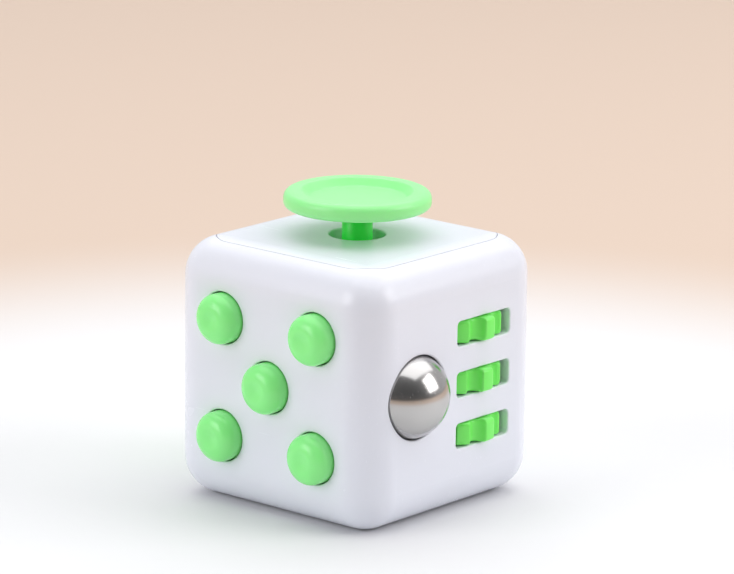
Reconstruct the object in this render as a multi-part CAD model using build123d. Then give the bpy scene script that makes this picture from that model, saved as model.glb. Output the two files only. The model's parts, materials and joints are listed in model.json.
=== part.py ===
from build123d import *
from math import cos, radians, sin, sqrt, tan
import os

# Fidget cube, in millimetres. The cube stands on the XY plane with its centre on the Z axis.
# -Y carries five push buttons, +X the rolling ball and three thumb gears, +Z the joystick,
# -X the spinning dial, +Y the rocker switch and -Z a thumb dent.

# ---- driving dimensions: case ----
SIDE = 33.0  # face to face
EDGE_R = 4.9  # rounding of every outer edge
WALL = 2.0  # side walls of the shell
SEAM_IN = 3.1  # from a side face to the seam round the top or bottom panel
SEAM_GAP = 0.1
SEAM_CORNER_R = 3.5
PANEL_T = 2.0  # depth of a panel's plug in the shell
FLANGE_T = 1.2  # flange of a panel, under the shell's lip
FLANGE_GAP = 0.2
RIM_R = 0.2  # softened edges of holes and windows
DENT_R = 9.0
DENT_DEPTH = 1.8
DENT_EDGE_R = 0.8
BOSS_DEPTH = 1.0  # how far a frame screw reaches into the bottom panel

# ---- buttons ----
BUTTON_PITCH = 7.5  # from the middle button to the others, along X and along Z
BUTTON_R = 3.15
BUTTON_GAP = 0.15
BUTTON_PROUD = 2.45
BUTTON_RIM_R = 1.6
BUTTON_DIMPLE = 0.12
BUTTON_DIMPLE_SPHERE = 8.0
BUTTON_LIP = 0.55  # how far the flange reaches past its hole
BUTTON_FLANGE_T = 0.8
BUTTON_TRAVEL = 0.8
BUTTON_REST_GAP = 0.1  # between the flange and the inside of the wall
SILENT_BUTTONS = (1, 4)  # the others click
PLUNGER_R = 1.0
SWITCH_SIZE = 4.6
SWITCH_T = 1.4
SWITCH_BASE_T = 0.3
SNAP_DISC_T = 0.12
DOME_FOOT_R = 3.0
DOME_TOP_R = 1.4
DOME_T = 0.6
DOME_GAP = 0.03

# ---- switch board ----
BOARD_T = 1.0
BOARD_SPACE = 3.5  # from the inside of the wall to the front of the board
BOARD_SIDE_MARGIN = 1.5  # from a side wall to the board's edge
BOARD_MARGIN = 1.2  # from a panel's flange to the board's edge
BOARD_NOTCH_GAP = 0.3  # round the ball's cup
BOARD_CORNER_R = 1.0

# ---- ball ----
BALL_R = 5.5
BALL_Y = -7.4
BALL_PROUD = 3.35
BALL_GAP = 0.15  # between the ball and the shell
CUP_GAP = 0.06  # between the ball and its cup
CUP_T = 0.62
CUP_MOUTH = 2.2  # from the ball's centre back to the mouth of the cup
BALL_TRAVEL = 0.8
CUP_STEM_R = 1.5
CUP_STEM_END_GAP = 0.3  # from the end of the stem to the frame
CUP_STEM_HOLE_GAP = 0.24  # round the stem, where it is pressed into the frame
BALL_SPRING_SPACE = 2.37  # from the bracket to the back of the cup
BALL_SPRING_WIRE = 0.2
BALL_SPRING_GAP = 0.2  # between the stem and the spring
BALL_SPRING_TURNS = 3
RUN_GAP = 0.06  # radial clearance of every turning or sliding fit
BRACKET_T = 1.2
BRACKET_MARGIN = 2.4  # from the stem to the bracket's edge

# ---- gears ----
GEAR_COUNT = 3
GEAR_PITCH = 6.5  # between gears, along Z
GEAR_CUP_GAP = 0.27  # between the gears and the ball's cup
GEAR_R = 5.9
GEAR_PROUD = 1.0
GEAR_H = 2.9
GEAR_EDGE_R = 0.35
GEAR_LOBES = 9
GEAR_SCALLOP_R = 0.195 * GEAR_R
GEAR_SCALLOP_DEPTH = 0.186 * GEAR_R
GEAR_PHASES = (4.0, -1.5, 1.0)  # degrees, bottom to top
GEAR_SHELL_GAP = 0.2  # between a gear and the relief inside its window
WINDOW_LEN = 10.1
WINDOW_GAP = 0.15  # above and below a gear
WINDOW_CORNER_R = 0.6
AXLE_R = 1.0
AXLE_HEAD_R = 1.6
AXLE_HEAD_T = 0.4
SPACER_T = 1.0  # wall of a spacer, where the shell leaves room for it
SPACER_GAP = 0.2  # between a spacer and the shell
GEAR_WASHER_T = 0.75
SIDE_GAP = 0.05  # end play beside a gear, spacer or washer
GEAR_PLATE_T = 1.2
GEAR_ARM_HALF = 3.6
GEAR_FLANGE_LEN = 3.6
GEAR_BACK_T = 0.8
GEAR_BACK_GAP = 0.3
LEAF_T = 0.25
LEAF_H = 2.0
LEAF_GAP = 0.25
LEAF_NOSE_R = 0.45
LEAF_NOSE_GAP = 0.12
LEAF_PAST = 1.2  # from the gears' axis to the end of a leaf

# ---- joystick ----
HOLE_R = 3.5
STICK_R = 1.92
CAP_R = 9.2
CAP_T = 2.2
CAP_LIFT = 3.4  # from the top face to the underside of the cap
DISH_R = 7.2
DISH_DEPTH = 0.8
CAP_SPIGOT_R = 1.2
CAP_SPIGOT_H = 1.2
PIVOT_DROP = 5.0  # from the top face down to the pivot
DOME_R = 4.4
DOME_WALL = 1.0
DOME_HALF_ANGLE = 62.0
NECK_R = 1.5
TAIL_R = 1.0
TAIL_LEN = 3.0
RING_GAP = 0.6  # between the neck and the ring
RING_T = 0.9
RING_H = 1.8
PIN_R = 0.5
YOKE_GAP = 0.35
YOKE_T = 1.5
YOKE_HALF_W = 1.2
BASE_T = 1.2
BASE_HALF_W = 4.2
BASE_MARGIN = 0.75  # from a post to the base's end
STICK_SPRING_R = 2.4
STICK_SPRING_WIRE = 0.25
STICK_SPRING_LEN = 3.0
STICK_SPRING_TURNS = 4

# ---- rocker ----
ROCKER_HALF_W = 3.3
ROCKER_GAP = 0.2
ROCKER_R = 6.3  # sweep radius of the rocker's ends
ROCKER_PIVOT_IN = 1.0  # from the inside of the wall in to the pivot
ROCKER_WAIST = 3.4  # from the pivot out to the bottom of the V
ROCKER_HALF_THROW = 12.0  # degrees
ROCKER_BELLY = 1.2
ROCKER_SIDE_GAP = 0.15
EAR_T = 0.9
EAR_HALF_H = 1.8
EAR_GAP = 0.1  # between an ear and the wall
HOUSING_T = 1.0
DETENT_BARREL_R = 1.5
DETENT_BARREL_LEN = 1.6
DETENT_R = 0.8
DETENT_REACH = 3.95  # from the pivot in to the middle of the plunger's round tip
DETENT_FLOOR = 4.9  # from the pivot in to the housing's floor
RIDGE_H = 0.5
DETENT_BORE_START = 0.4  # from the pin in to the end of the plunger's bore
DETENT_WIRE = 0.12
DETENT_TURNS = 3

# ---- dial ----
DIAL_R = 7.95
DIAL_GAP = 0.15
DIAL_PROUD = 3.0
DIAL_EDGE_R = 1.0
DIAL_LIP = 0.6  # how far the flange reaches past its hole
DIAL_FLANGE_T = 0.8
DIAL_REST_GAP = 0.2
DIAL_DIMPLE_R = 2.6
DIAL_DIMPLE_DEPTH = 1.0
DIAL_DIMPLE_AT = 4.0
DIAL_SHAFT_R = 1.5
DIAL_PLATE_GAP = 0.9
DIAL_PLATE_T = 1.2
DIAL_PLATE_PAST = 1.4  # from the frame to the plate's +Y edge
DIAL_BUSH_R = 2.4
DIAL_WASHER_R = 2.6
DIAL_WASHER_T = 0.5

# ---- inner frame and screws ----
DECK_T = 2.0
DECK_DROP = 6.0  # from the pivot of the joystick down to the deck
PILLAR = 2.6
SCREW_R = 0.5
SCREW_HEAD_R = 0.9
SCREW_HEAD_T = 0.5
SCREW_LEN = 2.6
PRESS_GAP = 0.01  # radial clearance of a fixed pin or screw

# ---- worked out ----
HALF = SIDE / 2
MID = SIDE / 2  # height of the cube's centre
INNER = HALF - WALL
PANEL_FLOOR = PANEL_T + FLANGE_T
BOARD_Y = -INNER + BOARD_SPACE
BALL_X = HALF + BALL_PROUD - BALL_R
CUP_R = BALL_R + CUP_GAP + CUP_T
GEAR_X = HALF + GEAR_PROUD - GEAR_R
GEAR_Y = BALL_Y + CUP_R + GEAR_CUP_GAP + GEAR_R
GEAR_AT = (GEAR_X, GEAR_Y)
SPACER_R = min(AXLE_R + SPACER_T, INNER - GEAR_X - SPACER_GAP)
WINDOW_H = GEAR_H + 2 * WINDOW_GAP
GEAR_ZS = [MID + (n - (GEAR_COUNT - 1) / 2) * GEAR_PITCH for n in range(GEAR_COUNT)]
PIVOT_Z = SIDE - PIVOT_DROP
DECK_Z = PIVOT_Z - DECK_DROP
CAP_Z = SIDE + CAP_LIFT
BUTTON_FLANGE_R = BUTTON_R + BUTTON_GAP + BUTTON_LIP
RING_IN_R = NECK_R + RING_GAP
RING_R = RING_IN_R + RING_T
BASE_HALF_L = DOME_R + YOKE_GAP + YOKE_T + BASE_MARGIN
ROCKER_Y = INNER - ROCKER_PIVOT_IN
ROCKER_WINDOW_HALF_H = ROCKER_R + ROCKER_GAP
DIAL_FLANGE_R = DIAL_R + DIAL_GAP + DIAL_LIP
DIAL_SEAT_X = -INNER + DIAL_REST_GAP
DIAL_PLATE_X = DIAL_SEAT_X + DIAL_FLANGE_T + DIAL_PLATE_GAP
BUTTON_BACK_Y = -INNER + BUTTON_REST_GAP + BUTTON_FLANGE_T
BUTTON_PLACES = [(0, 0), (-1, 1), (1, 1), (-1, -1), (1, -1)]
BALL_SIDE_X = BALL_X - CUP_R - BALL_SPRING_SPACE - BRACKET_T
GEAR_SIDE_X = GEAR_X - GEAR_R - GEAR_BACK_GAP - GEAR_BACK_T
FRAME_X = (DIAL_PLATE_X + DIAL_PLATE_T, min(BALL_SIDE_X, GEAR_SIDE_X))
FRAME_Y_FRONT = BOARD_Y + BOARD_T
FRAME_Y_BACK = ROCKER_Y - DETENT_FLOOR - HOUSING_T
PILLAR_XS = (FRAME_X[0] + PILLAR / 2, FRAME_X[1] - PILLAR / 2)
PILLAR_YS = (FRAME_Y_FRONT + PILLAR / 2, FRAME_Y_BACK - PILLAR / 2)

TURN = {"x": Rot(0, 90, 0), "y": Rot(-90, 0, 0), "z": Rot(0, 0, 0)}
SIDE_ON = Plane((0, 0, 0), x_dir=(0, 0, -1), z_dir=(1, 0, 0))  # sections drawn with Y outwards


def place(axis, start, across):
    """Location at start along an axis; across holds the two other coordinates, in X, Y, Z order."""
    a, b = across
    point = {"x": (start, a, b), "y": (a, start, b), "z": (a, b, start)}[axis]
    return Pos(*point) * TURN[axis]


BALL_AT = place("x", BALL_X, (BALL_Y, MID))  # the spheres' poles lie on the line of travel


def rod(radius, axis, start, end, across=(0, 0)):
    """Cylinder along an axis from start to end."""
    low = Align.MIN if end > start else Align.MAX
    solid = Cylinder(radius, abs(end - start), align=(Align.CENTER, Align.CENTER, low))
    return place(axis, start, across) * solid


def tube(outer, inner, axis, start, end, across=(0, 0)):
    """Round sleeve along an axis."""
    return rod(outer, axis, start, end, across) - rod(inner, axis, start, end, across)


def block(x, y, z):
    """Box between pairs of limits."""
    size = [b - a for a, b in (x, y, z)]
    return Pos(*[(a + b) / 2 for a, b in (x, y, z)]) * Box(*size)


def rounded_prism(width, corner, low, high):
    """Square prism about the Z axis with rounded upright edges."""
    return Pos(0, 0, low) * extrude(RectangleRounded(width, width, corner), high - low)


def screw(axis, seat, way, across, length=SCREW_LEN):
    """Cheese-head screw: its head stands on seat, and its shank runs the way it is driven."""
    head = rod(SCREW_HEAD_R, axis, seat, seat - way * SCREW_HEAD_T, across)
    return head + rod(SCREW_R, axis, seat, seat + way * length, across)


def screw_hole(axis, seat, way, across, length=SCREW_LEN):
    """Hole that a screw's shank fills."""
    return rod(SCREW_R + PRESS_GAP, axis, seat, seat + way * (length + PRESS_GAP), across)


def coil(radius, wire, axis, start, length, turns, across=(0, 0)):
    """Helical spring between two planes; its wire stays inside them."""
    path = Helix((length - 2 * wire) / turns, length - 2 * wire, radius)
    section = Plane(origin=path @ 0, z_dir=path % 0) * Circle(wire)
    return place(axis, start, across) * Pos(0, 0, wire) * sweep(section, path, is_frenet=True)


def group(solids):
    """Separate solids kept in one node."""
    return Compound(children=list(solids))


def rounded_cube():
    cube = Pos(0, 0, MID) * Box(SIDE, SIDE, SIDE)
    return fillet(cube.edges(), EDGE_R)


def button_places():
    return [(a * BUTTON_PITCH, MID + b * BUTTON_PITCH) for a, b in BUTTON_PLACES]


def soften_openings(shell):
    """Rounds the outer rims of the openings in the four side walls."""
    rims = []
    flat = HALF - EDGE_R
    for axis, sign in ((0, 1), (0, -1), (1, 1), (1, -1)):
        for edge in shell.edges():
            box = edge.bounding_box()
            low, high = tuple(box.min)[axis], tuple(box.max)[axis]
            middle = tuple(edge.center(CenterOf.BOUNDING_BOX))
            aside = max(abs(middle[1 - axis]), abs(middle[2] - MID))
            on_face = abs(low - sign * HALF) < 1e-4 and abs(high - sign * HALF) < 1e-4
            if on_face and aside < flat - 0.1:
                rims.append(edge)
    return fillet(rims, RIM_R)


def make_shell(cube):
    seam = SIDE - 2 * SEAM_IN
    shell = cube - rounded_prism(seam, SEAM_CORNER_R, 0, SIDE)
    shell -= rounded_prism(2 * INNER, EDGE_R - WALL, PANEL_T, SIDE - PANEL_T)
    for across in button_places():
        shell -= rod(BUTTON_R + BUTTON_GAP, "y", -HALF, -INNER, across)
    for z in GEAR_ZS:
        window = Rot(0, 90, 0) * RectangleRounded(WINDOW_H, WINDOW_LEN, WINDOW_CORNER_R)
        shell -= Pos(INNER, GEAR_Y, z) * extrude(window, WALL)
        relief = (z - WINDOW_H / 2, z + WINDOW_H / 2)
        shell -= rod(GEAR_R + GEAR_SHELL_GAP, "z", *relief, GEAR_AT)
    slot = RectangleRounded(
        2 * (ROCKER_HALF_W + ROCKER_GAP), 2 * ROCKER_WINDOW_HALF_H, WINDOW_CORNER_R
    )
    shell -= Pos(0, INNER, MID) * extrude(Rot(-90, 0, 0) * slot, WALL)
    shell -= rod(DIAL_R + DIAL_GAP, "x", -HALF, -INNER, (0, MID))
    shell -= BALL_AT * Sphere(BALL_R + BALL_GAP)
    return soften_openings(shell)


def make_panel(cube):
    """Top panel: a plug cut from the rounded cube, with a flange that bears on the shell's lip."""
    inset = SEAM_IN + SEAM_GAP
    plug = rounded_prism(SIDE - 2 * inset, SEAM_CORNER_R - SEAM_GAP, SIDE - PANEL_T, SIDE)
    flange = rounded_prism(
        2 * (INNER - FLANGE_GAP), EDGE_R - WALL - FLANGE_GAP, SIDE - PANEL_FLOOR, SIDE - PANEL_T
    )
    return (cube & plug) + flange


def make_top_panel(cube):
    panel = make_panel(cube)
    panel -= rod(HOLE_R, "z", SIDE, SIDE - PANEL_T, (0, 0))
    panel -= rod(DOME_R + YOKE_GAP, "z", SIDE - PANEL_T, SIDE - PANEL_FLOOR, (0, 0))
    rims = [
        edge
        for edge in panel.edges().filter_by(GeomType.CIRCLE)
        if abs(edge.center(CenterOf.BOUNDING_BOX).Z - SIDE) < 1e-4 and abs(edge.radius - HOLE_R) < 1e-4
    ]
    return fillet(rims, RIM_R)


def make_bottom_panel(cube):
    panel = Pos(0, 0, SIDE) * Rot(180, 0, 0) * make_panel(cube)
    sphere_r = (DENT_R**2 + DENT_DEPTH**2) / (2 * DENT_DEPTH)
    panel -= Pos(0, 0, DENT_DEPTH - sphere_r) * Sphere(sphere_r)
    rims = [
        edge
        for edge in panel.edges().filter_by(GeomType.CIRCLE)
        if abs(edge.center(CenterOf.BOUNDING_BOX).Z) < 1e-4 and abs(edge.radius - DENT_R) < 1e-3
    ]
    panel = fillet(rims, DENT_EDGE_R)
    for across in frame_screw_places():
        panel -= rod(SCREW_R + PRESS_GAP, "z", PANEL_FLOOR, PANEL_FLOOR - BOSS_DEPTH, across)
    return panel


def frame_screw_places():
    """Screws through the floor of the frame, beside its pillars."""
    inset = PILLAR + SCREW_HEAD_R + SIDE_GAP
    xs = (FRAME_X[0] + inset, FRAME_X[1] - inset)
    ys = (FRAME_Y_FRONT + PILLAR / 2, FRAME_Y_BACK - PILLAR / 2)
    return [(x, y) for x in xs for y in ys]


def board_screw_places():
    right = FRAME_X[1] - (SCREW_LEN - BRACKET_T) - SCREW_R - 2 * SIDE_GAP
    return [
        (PILLAR_XS[0], MID),
        (right, MID - BUTTON_PITCH / 2),
        (right, MID + BUTTON_PITCH / 2),
    ]


def ball_screw_places():
    low = PANEL_FLOOR + DECK_T + PILLAR
    return [(PILLAR_YS[0], low), (PILLAR_YS[0], DECK_Z - DECK_T / 2)]


def gear_screw_places():
    low = PANEL_FLOOR + DECK_T + PILLAR
    return [(PILLAR_YS[1], low), (PILLAR_YS[1], DECK_Z - DECK_T - PILLAR / 2)]


def dial_screw_places():
    low = PANEL_FLOOR + DECK_T + SCREW_HEAD_R
    return [(y, z) for y in PILLAR_YS for z in (low, DECK_Z - DECK_T / 2)]


def stick_screw_places():
    x = BASE_HALF_W - SCREW_HEAD_R - SIDE_GAP
    y = BASE_HALF_L - SCREW_HEAD_R - SIDE_GAP
    return [(a * x, b * y) for a in (-1, 1) for b in (-1, 1)]


def make_frame():
    """Two plates on four pillars; every mechanism is screwed to its edges."""
    span_x, span_y = FRAME_X, (FRAME_Y_FRONT, FRAME_Y_BACK)
    frame = block(span_x, span_y, (PANEL_FLOOR, PANEL_FLOOR + DECK_T))
    frame += block(span_x, span_y, (DECK_Z - DECK_T, DECK_Z))
    for x in PILLAR_XS:
        for y in PILLAR_YS:
            post = Pos(x, y, PANEL_FLOOR) * Box(
                PILLAR, PILLAR, DECK_Z - PANEL_FLOOR, align=(Align.CENTER, Align.CENTER, Align.MIN)
            )
            frame += post
    stem_hole = CUP_STEM_R + CUP_STEM_HOLE_GAP
    frame -= rod(stem_hole, "x", FRAME_X[1], FRAME_X[1] - BALL_TRAVEL, (BALL_Y, MID))
    for across in frame_screw_places():
        frame -= rod(SCREW_R + PRESS_GAP, "z", PANEL_FLOOR + DECK_T, PANEL_FLOOR, across)
    for across in board_screw_places():
        frame -= screw_hole("y", FRAME_Y_FRONT, 1, across, SCREW_LEN - BOARD_T)
    for across in ball_screw_places() + gear_screw_places():
        frame -= screw_hole("x", FRAME_X[1], -1, across, SCREW_LEN - GEAR_BACK_T)
    for across in dial_screw_places():
        frame -= screw_hole("x", FRAME_X[0], 1, across, SCREW_LEN - DIAL_PLATE_T)
    for across in stick_screw_places():
        frame -= screw_hole("z", DECK_Z, -1, across, SCREW_LEN - BASE_T)
    return frame


def make_board():
    low, high = PANEL_FLOOR + BOARD_MARGIN, SIDE - PANEL_FLOOR - BOARD_MARGIN
    outline = RectangleRounded(2 * (INNER - BOARD_SIDE_MARGIN), high - low, BOARD_CORNER_R)
    board = Pos(0, BOARD_Y, (low + high) / 2) * extrude(Rot(-90, 0, 0) * outline, BOARD_T)
    notch = CUP_R + BOARD_NOTCH_GAP
    start, end = BOARD_Y, BOARD_Y + BOARD_T
    board -= rod(notch, "y", start, end, (BALL_X, MID))
    board -= rod(notch, "y", start, end, (BALL_X - BALL_TRAVEL, MID))
    for across in board_screw_places():
        board -= screw_hole("y", BOARD_Y, 1, across)
    return board


def make_button_cap(across):
    """Round cap with a soft rim and a slight dimple, held behind the wall by its flange."""
    front = -HALF - BUTTON_PROUD
    cap = rod(BUTTON_R, "y", front, -INNER + BUTTON_REST_GAP, across)
    rim = cap.edges().filter_by(GeomType.CIRCLE).sort_by(Axis.Y)[0]
    cap = fillet(rim, BUTTON_RIM_R)
    dimple_y = front + BUTTON_DIMPLE - BUTTON_DIMPLE_SPHERE
    cap -= place("y", dimple_y, across) * Sphere(BUTTON_DIMPLE_SPHERE)
    return cap + rod(BUTTON_FLANGE_R, "y", -INNER + BUTTON_REST_GAP, BUTTON_BACK_Y, across)


def make_plunger(across):
    end = BOARD_Y - SWITCH_BASE_T - SNAP_DISC_T - BUTTON_TRAVEL - DOME_GAP
    return rod(PLUNGER_R, "y", BUTTON_BACK_Y, end, across)


def make_switch(across):
    x, z = across
    half = SWITCH_SIZE / 2
    case = block((x - half, x + half), (BOARD_Y - SWITCH_T, BOARD_Y), (z - half, z + half))
    case = fillet(case.edges().filter_by(Axis.Y), RIM_R)
    return case - rod(PLUNGER_R + RUN_GAP, "y", BOARD_Y - SWITCH_T, BOARD_Y - SWITCH_BASE_T, across)


def make_snap_disc(across):
    seat = BOARD_Y - SWITCH_BASE_T
    return rod(PLUNGER_R, "y", seat - SNAP_DISC_T, seat, across)


def make_silent_dome(across):
    """Hollow rubber cone between the board and a cap."""
    height = BOARD_Y - BUTTON_BACK_Y - DOME_GAP
    upright = (Align.CENTER, Align.CENTER, Align.MIN)
    outer = Cone(DOME_FOOT_R, DOME_TOP_R, height, align=upright)
    inner = Cone(DOME_FOOT_R - DOME_T, DOME_TOP_R - DOME_T, height, align=upright)
    return place("y", BOARD_Y, across) * Rot(180, 0, 0) * (outer - inner)


def make_ball_cup():
    """Cup round the back of the ball, on a stem that slides in the bracket."""
    cup = BALL_AT * Sphere(CUP_R)
    stem_end = FRAME_X[1] + CUP_STEM_END_GAP
    cup += rod(CUP_STEM_R, "x", stem_end, BALL_X - BALL_R, (BALL_Y, MID))
    cup -= BALL_AT * Sphere(BALL_R + CUP_GAP)
    mouth = BALL_X - CUP_MOUTH
    far = BALL_X + 2 * BALL_R
    return cup - block((mouth, far), (BALL_Y - 2 * BALL_R, BALL_Y + 2 * BALL_R), (0, SIDE))


def make_ball_bracket():
    x = (FRAME_X[1], FRAME_X[1] + BRACKET_T)
    y = (FRAME_Y_FRONT + SIDE_GAP, BALL_Y + CUP_STEM_R + BRACKET_MARGIN)
    bracket = block(x, y, (PANEL_FLOOR + SIDE_GAP, DECK_Z))
    bracket -= rod(CUP_STEM_R + RUN_GAP, "x", x[0], x[1], (BALL_Y, MID))
    for across in ball_screw_places():
        bracket -= screw_hole("x", x[1], -1, across)
    return bracket


def gear_outline():
    """Disc with evenly spaced round scallops and rounded lobes between them."""
    outline = Circle(GEAR_R)
    reach = GEAR_R - GEAR_SCALLOP_DEPTH + GEAR_SCALLOP_R
    for n in range(GEAR_LOBES):
        angle = radians((n + 0.5) * 360 / GEAR_LOBES)
        outline -= Pos(reach * cos(angle), reach * sin(angle)) * Circle(GEAR_SCALLOP_R)
    return fillet(outline.vertices(), GEAR_EDGE_R)


def make_gear(z, phase):
    bottom = z - GEAR_H / 2
    gear = extrude(gear_outline(), GEAR_H)
    ends = gear.edges().filter_by_position(Axis.Z, -1e-3, 1e-3)
    ends += gear.edges().filter_by_position(Axis.Z, GEAR_H - 1e-3, GEAR_H + 1e-3)
    gear = fillet(ends, GEAR_EDGE_R)
    gear -= rod(AXLE_R + RUN_GAP, "z", 0, GEAR_H)
    return Pos(GEAR_X, GEAR_Y, bottom) * Rot(0, 0, phase) * gear


def gear_plate_faces():
    """Heights of the bracket's two inner faces."""
    room = GEAR_H / 2 + SIDE_GAP + GEAR_WASHER_T
    return GEAR_ZS[0] - room, GEAR_ZS[-1] + room


def make_gear_bracket():
    """Two arms that hold the axle, a back, and a side flange for the leaf springs."""
    low, high = gear_plate_faces()
    x_back = (FRAME_X[1], FRAME_X[1] + GEAR_BACK_T)
    leaf_y = GEAR_Y + GEAR_R + LEAF_GAP + LEAF_T
    full_z = (low - GEAR_PLATE_T, high + GEAR_PLATE_T)
    arm_y = (GEAR_Y - GEAR_ARM_HALF, GEAR_Y + GEAR_ARM_HALF)
    bracket = block(x_back, (arm_y[0], leaf_y + GEAR_PLATE_T), full_z)
    arm_x = (FRAME_X[1], INNER - FLANGE_GAP)
    for z in ((full_z[0], low), (high, full_z[1])):
        bracket += block(arm_x, arm_y, z)
    bracket += block(
        (FRAME_X[1], FRAME_X[1] + GEAR_FLANGE_LEN), (leaf_y, leaf_y + GEAR_PLATE_T), full_z
    )
    bracket -= rod(AXLE_R + PRESS_GAP, "z", *full_z, GEAR_AT)
    for across in gear_screw_places():
        bracket -= screw_hole("x", x_back[1], -1, across)
        bracket -= rod(SCREW_HEAD_R + RUN_GAP, "x", x_back[1] - SCREW_HEAD_T, x_back[1], across)
    return bracket


def make_gear_screws():
    seat = FRAME_X[1] + GEAR_BACK_T - SCREW_HEAD_T
    length = SCREW_LEN - SCREW_HEAD_T
    return group(screw("x", seat, -1, across, length) for across in gear_screw_places())


def make_axle():
    low, high = gear_plate_faces()
    top = high + GEAR_PLATE_T
    axle = rod(AXLE_R, "z", low - GEAR_PLATE_T, top, GEAR_AT)
    return axle + rod(AXLE_HEAD_R, "z", top, top + AXLE_HEAD_T, GEAR_AT)


def make_spacers():
    spans = [
        (low + GEAR_H / 2 + SIDE_GAP, high - GEAR_H / 2 - SIDE_GAP)
        for low, high in zip(GEAR_ZS, GEAR_ZS[1:])
    ]
    return group(tube(SPACER_R, AXLE_R + PRESS_GAP, "z", a, b, GEAR_AT) for a, b in spans)


def make_washers():
    low, high = gear_plate_faces()
    spans = [
        (low, GEAR_ZS[0] - GEAR_H / 2 - SIDE_GAP),
        (GEAR_ZS[-1] + GEAR_H / 2 + SIDE_GAP, high),
    ]
    return group(tube(SPACER_R, AXLE_R + PRESS_GAP, "z", a, b, GEAR_AT) for a, b in spans)


def make_leaf(z, phase):
    """Leaf spring whose nose rests in the valley of a gear that is nearest its +Y side."""
    pitch = 360 / GEAR_LOBES
    first = phase + pitch / 2
    valley = radians(first + pitch * round((90 - first) / pitch))
    reach = GEAR_R - GEAR_SCALLOP_DEPTH + LEAF_NOSE_R + LEAF_NOSE_GAP
    nose_x, nose_y = GEAR_X + reach * cos(valley), GEAR_Y + reach * sin(valley)
    leaf_y = GEAR_Y + GEAR_R + LEAF_GAP
    low, high = z - LEAF_H / 2, z + LEAF_H / 2
    start = FRAME_X[1] + GEAR_BACK_T
    leaf = block((start, GEAR_X + LEAF_PAST), (leaf_y, leaf_y + LEAF_T), (low, high))
    leaf += rod(LEAF_NOSE_R, "z", low, high, (nose_x, nose_y))
    return leaf + block(
        (nose_x - LEAF_T, nose_x + LEAF_T), (nose_y, leaf_y + LEAF_T / 2), (low, high)
    )


def make_stick_cap():
    """Disc with a round rim and a shallow dish, on a socket for the stem's spigot."""
    top = CAP_Z + CAP_T
    rim = CAP_T / 2
    edge = rod(CAP_R, "z", CAP_Z, top)
    cap = fillet(edge.edges().filter_by(GeomType.CIRCLE), rim - 0.01)
    sphere_r = (DISH_R**2 + DISH_DEPTH**2) / (2 * DISH_DEPTH)
    cap -= Pos(0, 0, top - DISH_DEPTH + sphere_r) * Sphere(sphere_r)
    return cap - rod(CAP_SPIGOT_R + PRESS_GAP, "z", CAP_Z, CAP_Z + CAP_SPIGOT_H)


def make_stick_stem():
    """Stem with its spigot, a dome about the pivot that closes the hole, a neck and a tail."""
    centre = Pos(0, 0, PIVOT_Z)
    stem = rod(STICK_R, "z", PIVOT_Z + DOME_R - DOME_WALL, CAP_Z)
    stem += rod(CAP_SPIGOT_R, "z", CAP_Z, CAP_Z + CAP_SPIGOT_H - PRESS_GAP)
    skirt_r = DOME_R * tan(radians(DOME_HALF_ANGLE))
    cone = Cone(0, skirt_r, DOME_R, align=(Align.CENTER, Align.CENTER, Align.MIN))
    stem += centre * ((Sphere(DOME_R) - Sphere(DOME_R - DOME_WALL)) & cone)
    stem += rod(NECK_R, "z", PIVOT_Z - RING_H / 2, PIVOT_Z + DOME_R - DOME_WALL / 2)
    stem += rod(TAIL_R, "z", PIVOT_Z - TAIL_LEN, PIVOT_Z)
    return stem - rod(PIN_R + RUN_GAP, "x", -DOME_R, DOME_R, (0, PIVOT_Z))


def make_gimbal_ring():
    low, high = PIVOT_Z - RING_H / 2, PIVOT_Z + RING_H / 2
    ring = tube(RING_R, RING_IN_R, "z", low, high)
    ring -= rod(PIN_R + PRESS_GAP, "x", -RING_R, RING_R, (0, PIVOT_Z))
    return ring - rod(PIN_R + RUN_GAP, "y", -RING_R, RING_R, (0, PIVOT_Z))


def yoke_span():
    inside = DOME_R + YOKE_GAP
    return inside, inside + YOKE_T


def make_stick_base():
    """Plate on the deck with two posts for the gimbal's outer pins."""
    base = block(
        (-BASE_HALF_W, BASE_HALF_W), (-BASE_HALF_L, BASE_HALF_L), (DECK_Z, DECK_Z + BASE_T)
    )
    inside, outside = yoke_span()
    for sign in (-1, 1):
        y = sorted((sign * inside, sign * outside))
        base += block((-YOKE_HALF_W, YOKE_HALF_W), y, (DECK_Z, PIVOT_Z + 2 * PIN_R))
        base -= rod(PIN_R + PRESS_GAP, "y", y[0], y[1], (0, PIVOT_Z))
    for across in stick_screw_places():
        base -= screw_hole("z", DECK_Z + BASE_T, -1, across)
    return base


def make_gimbal_pins():
    inside = RING_IN_R + SIDE_GAP
    outside = yoke_span()[1]
    return group(rod(PIN_R, "y", s * inside, s * outside, (0, PIVOT_Z)) for s in (-1, 1))


def rocker_section():
    """Circle about the pivot, cut by the V of the finger faces and by the flat belly."""
    slope = tan(radians(ROCKER_HALF_THROW))
    far = 2 * ROCKER_R
    faces = Polyline(
        (-far, -ROCKER_BELLY), (far, -ROCKER_BELLY), (far, ROCKER_WAIST + far * slope),
        (0, ROCKER_WAIST), (-far, ROCKER_WAIST + far * slope), close=True
    )
    return Circle(ROCKER_R) & make_face(faces)


def rocker_pose():
    """The rocker rests tipped: its upper end stands out and its lower end is pressed in."""
    return Pos(0, ROCKER_Y, MID) * Rot(-ROCKER_HALF_THROW, 0, 0)


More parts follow.
